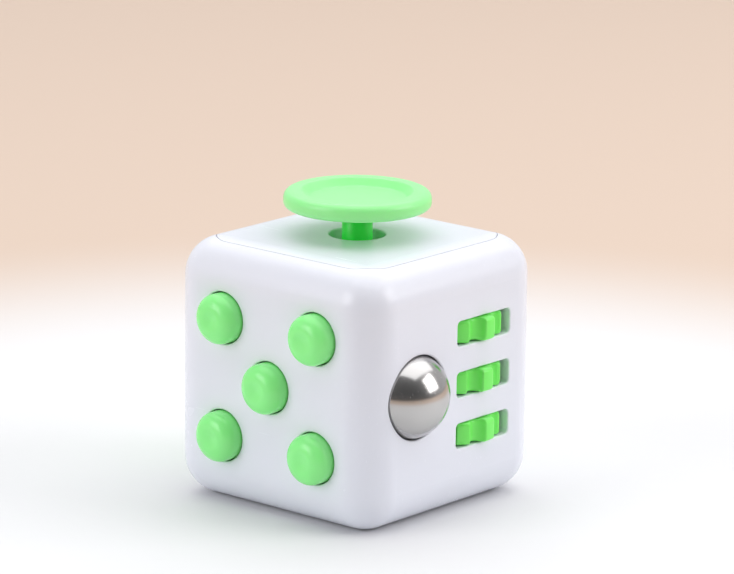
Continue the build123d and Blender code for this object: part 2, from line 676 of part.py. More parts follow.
def make_rocker():
    """Section extruded along X, with the barrel of its detent underneath."""
    body = extrude(SIDE_ON * rocker_section(), ROCKER_HALF_W, both=True)
    body = fillet(body.edges().filter_by(GeomType.CIRCLE), RIM_R)
    body += rod(DETENT_BARREL_R, "y", 0, -ROCKER_BELLY - DETENT_BARREL_LEN)
    body -= rod(DETENT_R + RUN_GAP, "y", -PIN_R - DETENT_BORE_START, -DETENT_FLOOR)
    body -= rod(PIN_R + RUN_GAP, "x", -ROCKER_HALF_W, ROCKER_HALF_W)
    return rocker_pose() * body


def detent_split():
    """Where the detent's spring ends and its plunger starts, measured in from the pivot."""
    return ROCKER_BELLY + DETENT_BARREL_LEN / 2


def make_detent_plunger():
    tip = Pos(0, -DETENT_REACH, 0) * Sphere(DETENT_R)
    return rocker_pose() * (rod(DETENT_R, "y", -detent_split(), -DETENT_REACH) + tip)


def make_detent_spring():
    start = PIN_R + DETENT_BORE_START + SIDE_GAP
    length = detent_split() - start - SIDE_GAP
    radius = DETENT_R - 2 * DETENT_WIRE
    return rocker_pose() * coil(radius, DETENT_WIRE, "y", -start - length, length, DETENT_TURNS)


def make_rocker_housing():
    """Floor with a ridge that the detent snaps over, and two ears for the pin."""
    ear_in = ROCKER_HALF_W + ROCKER_SIDE_GAP
    ear_out = ear_in + EAR_T
    floor_y = ROCKER_Y - DETENT_FLOOR
    half_h = ROCKER_WINDOW_HALF_H
    z = (MID - half_h, max(MID + half_h, DECK_Z))
    housing = block((-ear_out, ear_out), (FRAME_Y_BACK, floor_y), z)
    for sign in (-1, 1):
        x = sorted((sign * ear_in, sign * ear_out))
        ear = block(x, (floor_y, INNER - EAR_GAP), (MID - EAR_HALF_H, MID + EAR_HALF_H))
        housing += ear
    ridge = Polyline((-RIDGE_H, 0), (RIDGE_H, 0), (0, RIDGE_H), close=True)
    ridge_solid = extrude(SIDE_ON * make_face(ridge), DETENT_R, both=True)
    housing += Pos(0, floor_y, MID) * ridge_solid
    return housing - rod(PIN_R + PRESS_GAP, "x", -ear_out, ear_out, (ROCKER_Y, MID))


def make_rocker_pin():
    end = ROCKER_HALF_W + ROCKER_SIDE_GAP + EAR_T
    return rod(PIN_R, "x", -end, end, (ROCKER_Y, MID))


def dial_shaft_end():
    return DIAL_PLATE_X + DIAL_PLATE_T + SIDE_GAP


def make_dial():
    """Disc with a finger dimple, a flange behind the wall and a shaft."""
    across = (0, MID)
    face = -HALF - DIAL_PROUD
    dial = rod(DIAL_R, "x", face, DIAL_SEAT_X, across)
    rim = dial.edges().filter_by(GeomType.CIRCLE).sort_by(Axis.X)[0]
    dial = fillet(rim, DIAL_EDGE_R)
    sphere_r = (DIAL_DIMPLE_R**2 + DIAL_DIMPLE_DEPTH**2) / (2 * DIAL_DIMPLE_DEPTH)
    dimple_at = (0, MID + DIAL_DIMPLE_AT)
    dial -= place("x", face + DIAL_DIMPLE_DEPTH - sphere_r, dimple_at) * Sphere(sphere_r)
    dial += rod(DIAL_FLANGE_R, "x", DIAL_SEAT_X, DIAL_SEAT_X + DIAL_FLANGE_T, across)
    dial += rod(DIAL_SHAFT_R, "x", DIAL_SEAT_X, dial_shaft_end(), across)
    return dial - screw_hole("x", dial_shaft_end(), -1, across, SCREW_LEN - DIAL_WASHER_T)


def make_dial_plate():
    x = (DIAL_PLATE_X, DIAL_PLATE_X + DIAL_PLATE_T)
    low = PANEL_FLOOR + SIDE_GAP
    y = (FRAME_Y_FRONT + SIDE_GAP, FRAME_Y_BACK + DIAL_PLATE_PAST)
    plate = block(x, y, (low, DECK_Z + BASE_T))
    plate -= rod(DIAL_BUSH_R + PRESS_GAP, "x", x[0], x[1], (0, MID))
    for across in dial_screw_places():
        plate -= screw_hole("x", x[0], 1, across)
    return plate


def make_dial_bush():
    end = DIAL_PLATE_X + DIAL_PLATE_T
    return tube(DIAL_BUSH_R, DIAL_SHAFT_R + RUN_GAP, "x", DIAL_PLATE_X, end, (0, MID))


def make_dial_washer():
    start = dial_shaft_end()
    return tube(
        DIAL_WASHER_R, SCREW_R + PRESS_GAP, "x", start, start + DIAL_WASHER_T, (0, MID)
    )


def build():
    """Every node of the assembly, by name."""
    cube = rounded_cube()
    nodes = {
        "shell": make_shell(cube),
        "top_panel": make_top_panel(cube),
        "bottom_panel": make_bottom_panel(cube),
        "inner_frame": make_frame(),
        "switch_board": make_board(),
        "ball": BALL_AT * Sphere(BALL_R),
        "ball_cup": make_ball_cup(),
        "ball_bracket": make_ball_bracket(),
        "gear_bracket": make_gear_bracket(),
        "gear_bracket_screws": make_gear_screws(),
        "gear_axle": make_axle(),
        "gear_spacers": make_spacers(),
        "gear_washers": make_washers(),
        "joystick_cap": make_stick_cap(),
        "joystick_stem": make_stick_stem(),
        "joystick_base": make_stick_base(),
        "gimbal_ring": make_gimbal_ring(),
        "gimbal_cross_pin": rod(PIN_R, "x", -RING_R, RING_R, (0, PIVOT_Z)),
        "gimbal_outer_pins": make_gimbal_pins(),
        "rocker": make_rocker(),
        "rocker_housing": make_rocker_housing(),
        "rocker_pin": make_rocker_pin(),
        "rocker_detent_plunger": make_detent_plunger(),
        "rocker_detent_spring": make_detent_spring(),
        "dial": make_dial(),
        "dial_plate": make_dial_plate(),
        "dial_bush": make_dial_bush(),
        "dial_washer": make_dial_washer(),
    }
    clicking = [p for n, p in enumerate(button_places()) if n not in SILENT_BUTTONS]
    for number, across in enumerate(button_places(), 1):
        nodes[f"button_cap_{number}"] = make_button_cap(across)
        if across in clicking:
            nodes[f"switch_plunger_{number}"] = make_plunger(across)
            nodes[f"click_switch_{number}"] = make_switch(across)
        else:
            nodes[f"silent_dome_{number}"] = make_silent_dome(across)
    nodes["switch_snap_discs"] = group(make_snap_disc(p) for p in clicking)
    for number, (z, phase) in enumerate(zip(GEAR_ZS, GEAR_PHASES), 1):
        nodes[f"gear_{number}"] = make_gear(z, phase)
        nodes[f"gear_leaf_spring_{number}"] = make_leaf(z, phase)

    spring_start = FRAME_X[1] + BRACKET_T
    spring_len = BALL_X - sqrt(CUP_R**2 - CUP_STEM_R**2) - spring_start - SIDE_GAP
    nodes["ball_spring"] = coil(
        CUP_STEM_R + BALL_SPRING_GAP + BALL_SPRING_WIRE, BALL_SPRING_WIRE, "x", spring_start,
        spring_len, BALL_SPRING_TURNS, (BALL_Y, MID)
    )
    nodes["joystick_spring"] = coil(
        STICK_SPRING_R, STICK_SPRING_WIRE, "z", DECK_Z + BASE_T, STICK_SPRING_LEN,
        STICK_SPRING_TURNS
    )

    bottom_seat = PANEL_FLOOR + DECK_T
    nodes["frame_screws"] = group(
        screw("z", bottom_seat, -1, p, DECK_T + BOSS_DEPTH - PRESS_GAP)
        for p in frame_screw_places()
    )
    nodes["board_screws"] = group(screw("y", BOARD_Y, 1, p) for p in board_screw_places())
    nodes["ball_bracket_screws"] = group(
        screw("x", spring_start, -1, p) for p in ball_screw_places()
    )
    nodes["joystick_base_screws"] = group(
        screw("z", DECK_Z + BASE_T, -1, p) for p in stick_screw_places()
    )
    nodes["dial_plate_screws"] = group(
        screw("x", DIAL_PLATE_X, 1, p) for p in dial_screw_places()
    )
    nodes["dial_screw"] = screw("x", dial_shaft_end() + DIAL_WASHER_T, -1, (0, MID))
    return nodes


os.makedirs("parts", exist_ok=True)
for name, solid in build().items():
    export_step(solid, f"parts/{name}.step")
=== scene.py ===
"""Fidget cube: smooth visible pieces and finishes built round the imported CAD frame."""
import json

import bpy
import numpy as np
from bpy.props import FloatProperty, FloatVectorProperty, IntProperty, PointerProperty
from bpy.types import Operator, Panel, PropertyGroup
from mathutils import Matrix, Vector


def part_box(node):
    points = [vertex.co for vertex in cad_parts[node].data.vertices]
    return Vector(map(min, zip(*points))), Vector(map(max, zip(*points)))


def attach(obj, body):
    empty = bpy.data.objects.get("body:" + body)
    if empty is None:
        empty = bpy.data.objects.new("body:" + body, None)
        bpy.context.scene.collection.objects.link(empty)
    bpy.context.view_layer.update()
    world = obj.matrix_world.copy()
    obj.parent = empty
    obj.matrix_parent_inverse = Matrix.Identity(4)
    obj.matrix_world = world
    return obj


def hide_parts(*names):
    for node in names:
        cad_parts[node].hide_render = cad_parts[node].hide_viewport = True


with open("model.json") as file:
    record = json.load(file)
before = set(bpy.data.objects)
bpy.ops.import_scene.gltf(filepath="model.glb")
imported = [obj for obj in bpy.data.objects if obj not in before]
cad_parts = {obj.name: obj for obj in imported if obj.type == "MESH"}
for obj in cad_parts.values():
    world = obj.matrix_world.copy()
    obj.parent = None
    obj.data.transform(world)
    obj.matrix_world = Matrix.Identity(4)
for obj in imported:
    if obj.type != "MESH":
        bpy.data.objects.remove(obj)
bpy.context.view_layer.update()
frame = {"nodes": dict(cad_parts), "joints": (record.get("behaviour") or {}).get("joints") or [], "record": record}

bl_info = {
    "name": "Fidget Cube Parts",
    "version": (1, 0, 0),
    "blender": (4, 5, 0),
    "location": "View3D > Sidebar > Fidget Cube",
    "description": "Builds a fidget cube's buttons, gears, joystick, ball, dial and rocker",
    "category": "Object",
}

MM = 0.001
AXES = {"x": (1, 2, 0), "y": (2, 0, 1), "z": (0, 1, 2)}  # across, across, along
CUBE_MIDDLE = (0, 0, 0.0165)
LAMP_TARGET = (0, 0, 0.016)
CAMERA_SHIFT = (1.409, 9.379)  # to the camera's right and upwards, in millimetres
BRIGHT_SIDE = (-0.6, 0.75, 0.28)  # where the sky is brightest
SKY_STRENGTH = (0.12, 0.66)  # dimmest and brightest


# ---------------------------------------------------------------- sizes and colours

def length(name, description, default):
    """A size in metres, shown with its unit."""
    return FloatProperty(
        name=name, description=description, default=default * MM, unit="LENGTH", precision=5
    )


def colour(name, description, default):
    return FloatVectorProperty(
        name=name, description=description, default=default, size=3, subtype="COLOR",
        min=0.0, max=1.0
    )


class ButtonSizes(PropertyGroup):
    radius: length("Radius", "Radius of a button cap's barrel", 3.15)
    rim: length("Rim", "Rounding of the cap's front rim", 1.5)
    crown: length("Crown", "How far the front bulges between rim and dimple", 0.12)
    dimple: length("Dimple", "Depth of the finger dimple", 0.26)
    dimple_radius: length("Dimple Radius", "Where the dimple meets the crown", 1.5)
    flange: length("Flange", "Thickness of the hidden flange", 0.8)


class GearSizes(PropertyGroup):
    lobes: IntProperty(name="Lobes", description="Rounded lobes round a gear", default=9, min=3)
    scallop_radius: length("Scallop Radius", "Radius of the hollows between lobes", 1.15)
    scallop_depth: length("Scallop Depth", "How deep the hollows are cut", 1.1)
    blend: length("Blend", "Softening where a hollow meets a lobe", 0.1)
    edge: length("Edge", "Rounding of the gear's upper and lower edges", 0.5)
    bore: length("Bore", "Radius of the hole for the axle", 1.06)


class JoystickSizes(PropertyGroup):
    dish_floor: length("Dish Floor", "Radius of the flat floor of the dish", 6.15)
    dish_brim: length("Dish Brim", "Radius where the dish's wall meets the rim", 7.0)
    dish_depth: length("Dish Depth", "Depth of the dish", 0.95)
    brim_round: length("Brim Round", "Rounding at the foot and the top of the dish's wall", 0.4)
    rim_top: length("Rim Top", "Rounding of the rim's upper edge", 1.0)
    rim_bottom: length("Rim Bottom", "Rounding of the rim's lower edge", 0.75)
    stem: length("Stem", "Radius of the stem", 1.92)
    dome_wall: length("Dome Wall", "Thickness of the dome under the hole", 1.0)
    neck: length("Neck", "Radius of the stem inside the dome", 1.5)
    tail: length("Tail", "Radius of the stem's lower end", 1.0)


class DialSizes(PropertyGroup):
    radius: length("Radius", "Radius of the dial's knob", 7.95)
    edge: length("Edge", "Rounding of the knob's rim", 1.1)
    dimple_radius: length("Dimple Radius", "Radius of the finger dimple", 2.7)
    dimple_depth: length("Dimple Depth", "Depth of the finger dimple", 1.0)
    dimple_offset: length("Dimple Offset", "From the knob's centre to the dimple's", 4.0)
    groove: length("Groove", "Depth of the ring round the face", 0.18)
    groove_width: length("Groove Width", "Half width of the ring", 0.16)
    groove_inset: length("Groove Inset", "From the rim's rounding in to the ring", 0.25)
    flange_depth: length("Flange Depth", "From the case's face in to the hidden flange", 2.2)
    flange: length("Flange", "Thickness of the hidden flange", 0.8)
    shaft: length("Shaft", "Radius of the shaft", 1.5)


class RockerSizes(PropertyGroup):
    sweep: length("Sweep", "Radius of the rocker's ends about its pivot", 6.3)
    waist: length("Waist", "From the pivot out to the bottom of the V", 3.4)
    belly: length("Belly", "From the pivot in to the flat underside", 1.2)
    edge: length("Edge", "Rounding of the rocker's edges", 0.5)
    blend: length("Blend", "Softening where the rocker's faces meet", 0.12)


class Finish(PropertyGroup):
    case_colour: colour("Case", "White plastic of the case", (0.80, 0.82, 0.90))
    green: colour("Green", "Green plastic of the gears, dial and rocker", (0.20, 0.92, 0.14))
    light: colour("Light Green", "Lighter green of the button caps", (0.28, 0.95, 0.28))
    # the mint's slight blue tint is a painted reflection of bluish window light in the dish
    mint: colour("Mint", "Paler green of the joystick's cap", (0.33, 0.91, 0.34))
    # the stem's brighter, more saturated green is painted glow: it stands in for light passing through the
    # translucent cap onto the stem
    stem: colour("Stem", "Deep green of the joystick's stem", (0.05, 1.0, 0.10))
    steel: colour("Steel", "Polished steel of the ball", (0.54, 0.53, 0.52))


class StageSettings(PropertyGroup):
    floor: colour("Floor", "Colour of the floor round the cube", (0.79, 0.79, 0.80))
    far_floor: colour("Far Floor", "Colour of the floor further off", (0.66, 0.52, 0.42))
    floor_spread: length("Floor Spread", "Radius where the floor's colour starts to change", 70)
    sky: colour("Sky", "Colour of the soft light all round", (0.98, 0.98, 1.0))
    azimuth: FloatProperty(
        name="Azimuth", description="Camera's bearing round the cube", default=np.radians(40.44),
        subtype="ANGLE"
    )
    elevation: FloatProperty(
        name="Elevation", description="Camera's height over the horizon",
        default=np.radians(14.17), subtype="ANGLE"
    )
    roll: FloatProperty(
        name="Roll", description="Camera's roll", default=np.radians(0.69), subtype="ANGLE"
    )
    distance: length("Distance", "From the cube's centre to the camera", 564.1)
    lens: FloatProperty(name="Lens", description="Focal length on a 36 mm sensor", default=221.6)


SETTINGS = {
    "fidget_buttons": ButtonSizes,
    "fidget_gears": GearSizes,
    "fidget_joystick": JoystickSizes,
    "fidget_dial": DialSizes,
    "fidget_rocker": RockerSizes,
    "fidget_finish": Finish,
    "fidget_stage": StageSettings,
}


# ---------------------------------------------------------------- surfaces

def closed_surface(name, rows, joined=False):
    """Mesh over a grid of points rows[i, j], where j runs round and closes on itself.

    With joined, the last row also joins the first, as on a torus. Otherwise the first and last
    rows are each one repeated point, and become poles with a fan of triangles. The faces are
    turned so that the enclosed volume, a sixth of the sum of a . (b x c), is positive.
    """
    count, around = rows.shape[:2]
    if joined:
        points = rows.reshape(-1, 3)
        index = np.arange(count * around).reshape(count, around)
        lower, upper = index, np.roll(index, -1, axis=0)
        fans = []
    else:
        points = np.vstack([rows[0, :1], rows[1:-1].reshape(-1, 3), rows[-1, :1]])
        index = 1 + np.arange((count - 2) * around).reshape(count - 2, around)
        lower, upper = index[:-1], index[1:]
        last = np.full(around, len(points) - 1)
        first = np.zeros(around, int)
        fans = [
            np.stack([first, np.roll(index[0], -1), index[0]], -1),
            np.stack([last, index[-1], np.roll(index[-1], -1)], -1),
        ]
    beside = (np.roll(lower, -1, axis=1), np.roll(upper, -1, axis=1))
    quads = np.stack([lower, beside[0], beside[1], upper], -1).reshape(-1, 4)
    halves = [quads[:, :3], quads[:, (0, 2, 3)], *fans]
    a, b, c = np.moveaxis(points[np.vstack(halves)], 1, 0)
    if np.sum(a * np.cross(b, c)) < 0:
        quads = quads[:, ::-1]
        fans = [fan[:, ::-1] for fan in fans]
    mesh = bpy.data.meshes.new(name)
    faces = quads.tolist() + [face for fan in fans for face in fan.tolist()]
    mesh.from_pydata(points.tolist(), [], faces)
    mesh.polygons.foreach_set("use_smooth", np.ones(len(faces), bool))
    piece = bpy.data.objects.new(name, mesh)
    bpy.context.scene.collection.objects.link(piece)
    return piece


def rounded_path(corners, radii, steps=9):
    """Straight runs through corners, each corner replaced by an arc of its own radius.

    The arc touches both runs: its centre is on the bisector, at radius / sin(half the angle), and
    its points turn evenly from one tangent point to the other. Short extra points beside each arc
    keep the flats flat under smooth shading.
    """
    corners = np.asarray(corners, float)
    path = [corners[:1]]
    for before, corner, after, radius in zip(corners, corners[1:], corners[2:], radii):
        to_before = (before - corner) / np.linalg.norm(before - corner)
        to_after = (after - corner) / np.linalg.norm(after - corner)
        half = np.arccos(np.clip(to_before @ to_after, -1, 1)) / 2
        middle = (to_before + to_after) / np.linalg.norm(to_before + to_after)
        centre = corner + middle * radius / np.sin(half)
        start = corner + to_before * radius / np.tan(half) - centre
        end = corner + to_after * radius / np.tan(half) - centre
        t = np.linspace(0, 1, steps)[:, None]
        sweep = np.pi - 2 * half
        arc = (np.sin((1 - t) * sweep) * start + np.sin(t * sweep) * end) / np.sin(sweep)
        margin = min(radius, 0.2) * 0.4
        path += [
            centre + start + to_before * margin, centre + arc, centre + end + to_after * margin
        ]
    path.append(corners[-1:])
    return np.vstack([np.atleast_2d(run) for run in path])


def spun(name, profile, axis, centre, around=96):
    """Surface of revolution: a profile of (radius, place along the axis) turned about the axis.

    A point is radius * cos(angle) along the first cross axis and radius * sin(angle) along the
    second. All lengths are in millimetres, and centre is the row's (x, y, z).
    """
    angle = np.linspace(0, 2 * np.pi, around, endpoint=False)
    radius, along = profile[:, :1], profile[:, 1:]
    first, second, third = AXES[axis]
    rows = np.zeros((len(profile), around, 3))
    rows[..., first] = radius * np.cos(angle) + centre[first]
    rows[..., second] = radius * np.sin(angle) + centre[second]
    rows[..., third] = along
    return closed_surface(name, rows * MM)


def node_box(node):
    """Lowest and highest corner of a CAD node, in millimetres."""
    low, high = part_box(node)
    return np.array(low) / MM, np.array(high) / MM


def node_points(node):
    """A CAD node's points, in millimetres."""
    mesh = frame["nodes"][node].data
    points = np.empty(len(mesh.vertices) * 3)
    mesh.vertices.foreach_get("co", points)
    return points.reshape(-1, 3) / MM


def finished(piece, node, material):
    """Gives a new piece its body, the node it stands for and its material."""
    body = next(b for b, nodes in frame["record"]["behaviour"]["bodies"].items() if node in nodes)
    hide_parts(node)
    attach(piece, body)
    piece.data.materials.clear()
    piece.data.materials.append(material)
    return piece


def button_cap(name, node, sizes):
    """Cap spun about Y. From the axis out: a dimple of depth d (1 - (r/a)^2)^2 in a crown that
    falls as c (r/R)^2, a rim arc, the barrel, the flange and the flat back."""
    low, high = node_box(node)
    centre = (low + high) / 2
    r, rim = sizes.radius / MM, sizes.rim / MM
    crown, dimple, reach = sizes.crown / MM, sizes.dimple / MM, sizes.dimple_radius / MM
    flange_r, flange = (high[0] - low[0]) / 2, sizes.flange / MM
    flat = r - rim
    radius = np.linspace(0, flat, 28)
    hollow = dimple * np.clip(1 - (radius / reach) ** 2, 0, None) ** 2
    face = low[1] + crown * (radius / flat) ** 2 + hollow
    start = face[-1]
    turn = np.linspace(0, np.pi / 2, 12)[1:]
    slope = 2 * crown / flat
    arc = np.stack([
        flat + rim * np.sin(turn),
        start + slope * rim * np.sin(turn) * np.cos(turn) + rim * (1 - np.cos(turn)),
    ], -1)
    skirt = rounded_path(
        [(r, arc[-1, 1]), (r, high[1] - flange), (flange_r, high[1] - flange),
         (flange_r, high[1]), (0, high[1])],
        [0.15, 0.1, 0.1], steps=4,
    )
    profile = np.vstack([np.stack([radius, face], -1), arc, skirt[1:]])
    return spun(name, profile, "y", centre)


def gear(name, node, sizes, phase):
    """Scalloped disc about Z, closed through its bore.

    The outline is the smaller of the disc's radius R and the near side of the scallop circles,
    C cos(a) - sqrt(s^2 - C^2 sin^2(a)), with a measured from the nearest scallop, softened by
    -k log(exp(-x/k) + exp(-y/k)). The section follows the rounded edges, and the flat faces
    shrink evenly to the bore.
    """
    low, high = node_box(node)
    outer = frame_gear_radius(node)
    centre = gear_centre(node)
    s, depth, k = sizes.scallop_radius / MM, sizes.scallop_depth / MM, sizes.blend / MM
    edge, bore = sizes.edge / MM, sizes.bore / MM
    reach = outer - depth + s
    angle = np.linspace(0, 2 * np.pi, 40 * sizes.lobes, endpoint=False)
    pitch = 2 * np.pi / sizes.lobes
    away = (angle - phase) % pitch - pitch / 2
    inside = s**2 - (reach * np.sin(away)) ** 2
    hollow = np.where(
        inside > 0, reach * np.cos(away) - np.sqrt(np.clip(inside, 0, None)), outer + 3 * s
    )
    outline = -k * np.log(np.exp(-outer / k) + np.exp(-hollow / k))
    half = (high[2] - low[2]) / 2
    turn = np.linspace(0, np.pi / 2, 8)
    corner = np.stack([edge * (1 - np.sin(turn)), half - edge * (1 - np.cos(turn))], -1)
    over = np.vstack([corner, corner[::-1] * (1, -1)])
    shrink, rise = over[:, :1], over[:, 1:]
    rim = outline - shrink
    rings = 5
    face = np.linspace(1, 0, rings + 1)[1:, None]
    inner = outline - edge
    flats = bore + (inner - bore) * face
    radius = np.vstack([rim, flats, flats[::-1]])
    height = np.vstack([rise, np.full((rings, 1), -half), np.full((rings, 1), half)])
    rows = np.stack([
        centre[0] + radius * np.cos(angle),
        centre[1] + radius * np.sin(angle),
        centre[2] + height + 0 * radius,
    ], -1)
    return closed_surface(name, rows * MM, joined=True)


def joint_of(body):
    return next(j for j in frame["joints"] if j["child"] == body)


def gear_centre(node):
    """The gear's axis, from its joint, and the middle of its height."""
    low, high = node_box(node)
    number = node.rsplit("_", 1)[1]
    x, y, _ = joint_of(f"thumb_gear_{number}")["pos_m"]
    return np.array([x / MM, y / MM, (low[2] + high[2]) / 2])


def frame_gear_radius(node):
    """Largest distance of the CAD gear's points from its axis."""
    across = node_points(node)[:, :2] - gear_centre(node)[:2]
    return np.linalg.norm(across, axis=1).max()


def gear_phase(node, lobes):
    """Angle of the first lobe: the mean direction, to the power of the lobe count, of the
    points on the lobes' tips."""
    x, y = (node_points(node)[:, :2] - gear_centre(node)[:2]).T
    nearly = 0.02  # how far inside the largest radius a point still counts as on a tip
    tips = np.hypot(x, y) > frame_gear_radius(node) - nearly
    return np.angle(np.sum(np.exp(1j * lobes * np.arctan2(y, x)[tips]))) / lobes


def joystick_cap(name, node, sizes):
    """Cap spun about Z: flat floor, sloping wall, full rim and flat underside."""
    low, high = node_box(node)
    centre = (low + high) / 2
    r, bottom, top = (high[0] - low[0]) / 2, low[2], high[2]
    floor, brim, depth = sizes.dish_floor / MM, sizes.dish_brim / MM, sizes.dish_depth / MM
    brim_round = sizes.brim_round / MM
    profile = rounded_path(
        [(0, top - depth), (floor, top - depth), (brim, top), (r, top), (r, bottom), (0, bottom)],
        [brim_round, brim_round, sizes.rim_top / MM, sizes.rim_bottom / MM], steps=12,
    )
    return spun(name, profile, "z", centre, around=160)


def joystick_stem(name, node, sizes):
    """Stem spun about Z: spigot, stem, dome about the pivot, neck and tail."""
    low, high = node_box(node)
    centre = np.zeros(3)
    pivot = joint_of("joystick")["pos_m"][2] / MM
    cap_low = node_box("joystick_cap")[0][2]
    stem, neck, tail = sizes.stem / MM, sizes.neck / MM, sizes.tail / MM
    skirt_r = (high[0] - low[0]) / 2
    dome = node_dome_radius(node, pivot)
    wall = sizes.dome_wall / MM
    top_ease, dome_ease, end_ease = 0.1, 0.05, 0.2
    neck_end, tail_start = pivot - 0.8, pivot - 0.9
    steep = np.arcsin(skirt_r / dome)
    meet = np.arcsin(stem / dome)
    outside = np.linspace(meet, steep, 24)
    within = np.linspace(steep, np.arcsin(neck / (dome - wall)), 20)
    profile = np.vstack([
        [(0, cap_low), (stem - top_ease, cap_low), (stem, cap_low - top_ease)],
        [(stem, pivot + dome * np.cos(meet) + dome_ease)],
        np.stack([dome * np.sin(outside), pivot + dome * np.cos(outside)], -1),
        np.stack([(dome - wall) * np.sin(within), pivot + (dome - wall) * np.cos(within)], -1),
        [(neck, neck_end), (tail, tail_start), (tail, low[2] + end_ease)],
        [(tail - end_ease, low[2]), (0, low[2])],
    ])
    return spun(name, profile, "z", centre)


def node_dome_radius(node, pivot):
    """Radius of the stem's dome: how far its skirt's points lie from the pivot."""
    past_stem, under_cap = 2.5, 5.0  # from the axis, and above the pivot
    offset = node_points(node) - (0, 0, pivot)
    skirt = np.hypot(offset[:, 0], offset[:, 1]) > past_stem
    return np.linalg.norm(offset[skirt & (offset[:, 2] < under_cap)], axis=1).max()


def steel_ball(name, node):
    """Sphere: radius times (sin a cos b, sin a sin b, cos a), its poles along Z."""
    low, high = node_box(node)
    centre, r = (low + high) / 2, (high[2] - low[2]) / 2
    a = np.linspace(0, np.pi, 97)
    profile = np.stack([r * np.sin(a), centre[2] + r * np.cos(a)], -1)
    profile[(0, -1), 0] = 0
    return spun(name, profile, "z", centre, around=160)


def dial(name, node, sizes):
    """Knob about X: flat face with a rim groove and an off-centre dimple, rim arc, barrel,
    flange and shaft. The dimple sinks the face by depth (1 - (q/a)^2)^1.5 at distance q from its
    own centre, and the groove by depth exp(-((r - g)/w)^2)."""
    low, high = node_box(node)
    centre = (low + high) / 2
    r, edge = sizes.radius / MM, sizes.edge / MM
    flange_r, shaft = (high[2] - low[2]) / 2, sizes.shaft / MM
    flange_front = node_box("shell")[0][0] + sizes.flange_depth / MM
    flange_back = flange_front + sizes.flange / MM
    face_r = np.linspace(0, r - edge, 60)
    turn = np.linspace(0, np.pi / 2, 12)[1:]
    arc = np.stack([r - edge + edge * np.sin(turn), low[0] + edge * (1 - np.cos(turn))], -1)
    back = rounded_path(
        [(r, low[0] + edge), (r, flange_front), (flange_r, flange_front),
         (flange_r, flange_back), (shaft, flange_back), (shaft, high[0]), (0, high[0])],
        [0.15, 0.1, 0.1, 0.2, 0.15], steps=4,
    )
    profile = np.vstack([np.stack([face_r, 0 * face_r + low[0]], -1), arc, back[1:]])
    around = 128
    angle = np.linspace(0, 2 * np.pi, around, endpoint=False)
    radius = profile[:, :1]
    y, z = radius * np.cos(angle), radius * np.sin(angle)
    offset, reach = sizes.dimple_offset / MM, sizes.dimple_radius / MM
    away = np.hypot(y, z - offset) / reach
    sink = sizes.dimple_depth / MM * np.clip(1 - away**2, 0, None) ** 1.5
    groove_at, width = r - edge - sizes.groove_inset / MM, sizes.groove_width / MM
    sink += sizes.groove / MM * np.exp(-(((radius - groove_at) / width) ** 2))
    on_face = (np.arange(len(profile)) < len(face_r))[:, None]
    x = profile[:, 1:] + np.where(on_face, sink, 0)
    rows = np.stack([x, centre[1] + y, centre[2] + z], -1)
    return closed_surface(name, rows * MM)


def rocker(name, node, sizes):
    """Section in polar form about the pivot, carried across X.

    The radius is the softened smallest of the sweep circle, the two finger faces,
    w / (sin a - t |cos a|), and the belly, b / -sin a; towards each side it shrinks by the
    edge's quarter circle. The whole is turned to the rest pose about the pivot.
    """
    joint = joint_of("rocker")
    pivot = np.array(joint["pos_m"]) / MM
    half_throw = np.radians(joint["range_deg"][1]) / 2
    low, high = node_box(node)
    half_w = (high[0] - low[0]) / 2
    sweep, waist, belly = sizes.sweep / MM, sizes.waist / MM, sizes.belly / MM
    edge, k = sizes.edge / MM, sizes.blend / MM
    crease = 0.004  # rounds the bottom of the V
    a = np.linspace(0, 2 * np.pi, 288, endpoint=False)
    slope = np.tan(half_throw)
    rise = np.sin(a) - slope * np.sqrt(np.cos(a) ** 2 + crease)
    far = 4 * sweep
    faces = np.where(rise > waist / far, waist / np.clip(rise, waist / far, None), far)
    under = np.where(np.sin(a) < -belly / far, belly / np.clip(-np.sin(a), belly / far, None), far)
    limits = np.stack([np.full_like(a, sweep), faces, under])
    section = -k * np.log(np.sum(np.exp(-limits / k), axis=0))
    turn = np.linspace(0, np.pi / 2, 8)
    side = np.stack([edge * (1 - np.sin(turn)), half_w - edge * (1 - np.cos(turn))], -1)
    shrink = np.concatenate([side[:, 0], side[::-1, 0]])
    x = np.concatenate([-side[:, 1], side[::-1, 1]])
    scale = np.concatenate([[0, 0.5], np.ones(len(x)), [0.5, 0]])
    shrink = np.concatenate([[0, edge], shrink, [edge, 0]])
    x = np.concatenate([[x[0]] * 2, x, [x[-1]] * 2])
    radius = scale[:, None] * (section - shrink[:, None])
    y, z = radius * np.sin(a), radius * np.cos(a)
    c, s = np.cos(half_throw), np.sin(half_throw)
    rows = np.stack([
        x[:, None] + 0 * radius,
        pivot[1] + c * y + s * z,
        pivot[2] - s * y + c * z,
    ], -1)
    return closed_surface(name, rows * MM)


# ---------------------------------------------------------------- finishes

def new_group(name, inputs, outputs):
    """Empty shader node group with named sockets; each is (name, kind, default)."""
    group = bpy.data.node_groups.new(name, "ShaderNodeTree")
    for way, sockets in (("INPUT", inputs), ("OUTPUT", outputs)):
        for label, kind, default in sockets:
            socket = group.interface.new_socket(label, in_out=way, socket_type=kind)
            if default is not None:
                socket.default_value = default
    return group, group.nodes.new("NodeGroupInput"), group.nodes.new("NodeGroupOutput")


def wire(tree, source, target):
    tree.links.new(target, source)


def math_node(tree, operation, *values, clamp=False):
    """Math node; numbers are set on it, and sockets are linked to it."""
    node = tree.nodes.new("ShaderNodeMath")
    node.operation = operation
    node.use_clamp = clamp
    for socket, value in zip(node.inputs, values):
        if isinstance(value, (int, float)):
            socket.default_value = value
        else:
            wire(tree, value, socket)
    return node.outputs[0]


